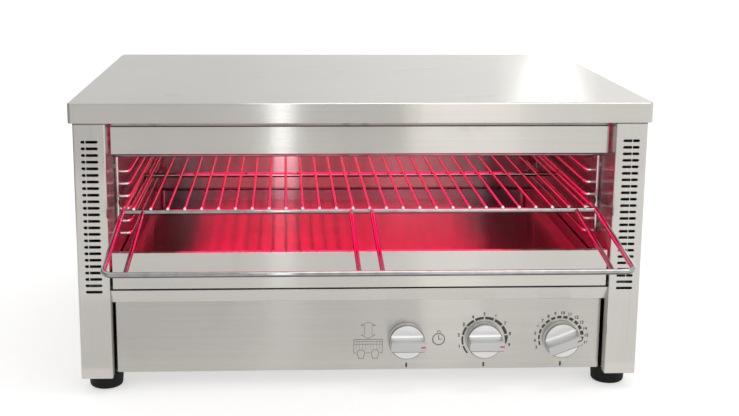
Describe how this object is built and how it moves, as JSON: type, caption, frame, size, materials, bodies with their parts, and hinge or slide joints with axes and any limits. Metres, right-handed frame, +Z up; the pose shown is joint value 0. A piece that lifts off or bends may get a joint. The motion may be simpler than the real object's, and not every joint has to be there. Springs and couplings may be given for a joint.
{
  "type": "cheese melter",
  "caption": "Bench-top stainless grill with glowing quartz elements over a wire rack on side runners, a slide-out crumb tray and rotary controls.",
  "frame": {"origin": "middle of the whole footprint, handle and cord gland included, at bench level", "axes": "+Z up, -Y out of the open front towards the user, +X to the user's right"},
  "size_m": [0.652, 0.6452, 0.339],
  "materials": {
    "stainless": "brushed stainless sheet, fine horizontal grain",
    "polished_liner": "bright annealed stainless sheet, nearly a mirror",
    "chromed_wire": "bright chrome plate",
    "plated_steel": "zinc plated",
    "quartz": "clear quartz, red with heat",
    "glowing_coil": "resistance wire, glowing",
    "ceramic": "unglazed",
    "ceramic_fibre": "ceramic fibre blanket",
    "knob_silver": "silver grey moulded plastic",
    "black_plastic": "moulded",
    "cream_plastic": "moulded",
    "white_plastic": "moulded",
    "loom_sleeve": "silicone sleeved leads",
    "brass": "plain",
    "black_rubber": "moulded rubber"
  },
  "bodies": {
    "case": {"top_cover": "stainless", "side_panel_left": "stainless", "side_panel_right": "stainless", "base_pan": "stainless", "back_panel": "stainless", "front_top_rail": "stainless", "rear_top_rail": "stainless", "upper_fascia": "stainless", "front_mid_rail": "stainless", "control_panel": "stainless", "chamber_deck": "stainless", "chamber_wall_left": "polished_liner", "chamber_wall_right": "polished_liner", "chamber_back": "polished_liner", "chamber_roof": "polished_liner", "insulation_blanket": "ceramic_fibre", "side_baffles": "stainless", "quartz_tubes": "quartz", "heating_coils": "glowing_coil", "ceramic_caps_left": "ceramic", "ceramic_caps_right": "ceramic", "cap_retainers": "stainless", "element_guard": "chromed_wire", "ladder_uprights_left": "chromed_wire", "ladder_uprights_right": "chromed_wire", "ladder_runners_left": "chromed_wire", "ladder_runners_right": "chromed_wire", "ladder_clips": "stainless", "tray_runner_left": "stainless", "tray_runner_right": "stainless", "selector_switch": "black_plastic", "heat_regulator": "cream_plastic", "timer_movement": "plated_steel", "bush_nuts": "plated_steel", "terminal_block": "white_plastic", "earth_stud": "brass", "cable_gland": "black_plastic", "gland_nut": "black_plastic", "wiring_loom": "loom_sleeve", "foot_front_left": "black_rubber", "foot_front_right": "black_rubber", "foot_rear_left": "black_rubber", "foot_rear_right": "black_rubber", "foot_screws": "plated_steel", "foot_nuts": "plated_steel", "back_panel_screws": "plated_steel", "control_panel_screws": "plated_steel", "cover_screws": "plated_steel"},
    "rack": {"rack_frame": "chromed_wire", "rack_cross_rods": "chromed_wire", "rack_wires": "chromed_wire", "handle_arms": "chromed_wire"},
    "tray": {"tray_front": "stainless", "tray_pan": "polished_liner"},
    "selector_dial": {"selector_knob": "knob_silver", "selector_shaft": "plated_steel"},
    "heat_dial": {"heat_knob": "knob_silver", "heat_shaft": "plated_steel"},
    "timer_dial": {"timer_knob": "knob_silver", "timer_shaft": "plated_steel"}
  },
  "joints": [
    {"name": "rack_slide", "type": "slide", "parent": "case", "child": "rack", "axis": [0, -1, 0], "range_m": [0, 0.3]},
    {"name": "tray_slide", "type": "slide", "parent": "case", "child": "tray", "axis": [0, -1, 0], "range_m": [0, 0.3]},
    {"name": "selector_turn", "type": "hinge", "parent": "case", "child": "selector_dial", "pos_m": [0.0541, -0.1476, 0.0556], "axis": [0, -1, 0], "range_deg": [-180, 0]},
    {"name": "heat_turn", "type": "hinge", "parent": "case", "child": "heat_dial", "pos_m": [0.1453, -0.1476, 0.0556], "axis": [0, -1, 0], "range_deg": [-41, 270]},
    {"name": "timer_turn", "type": "hinge", "parent": "case", "child": "timer_dial", "pos_m": [0.2365, -0.1476, 0.0556], "axis": [0, -1, 0], "range_deg": [-34, 249]}
  ]
}
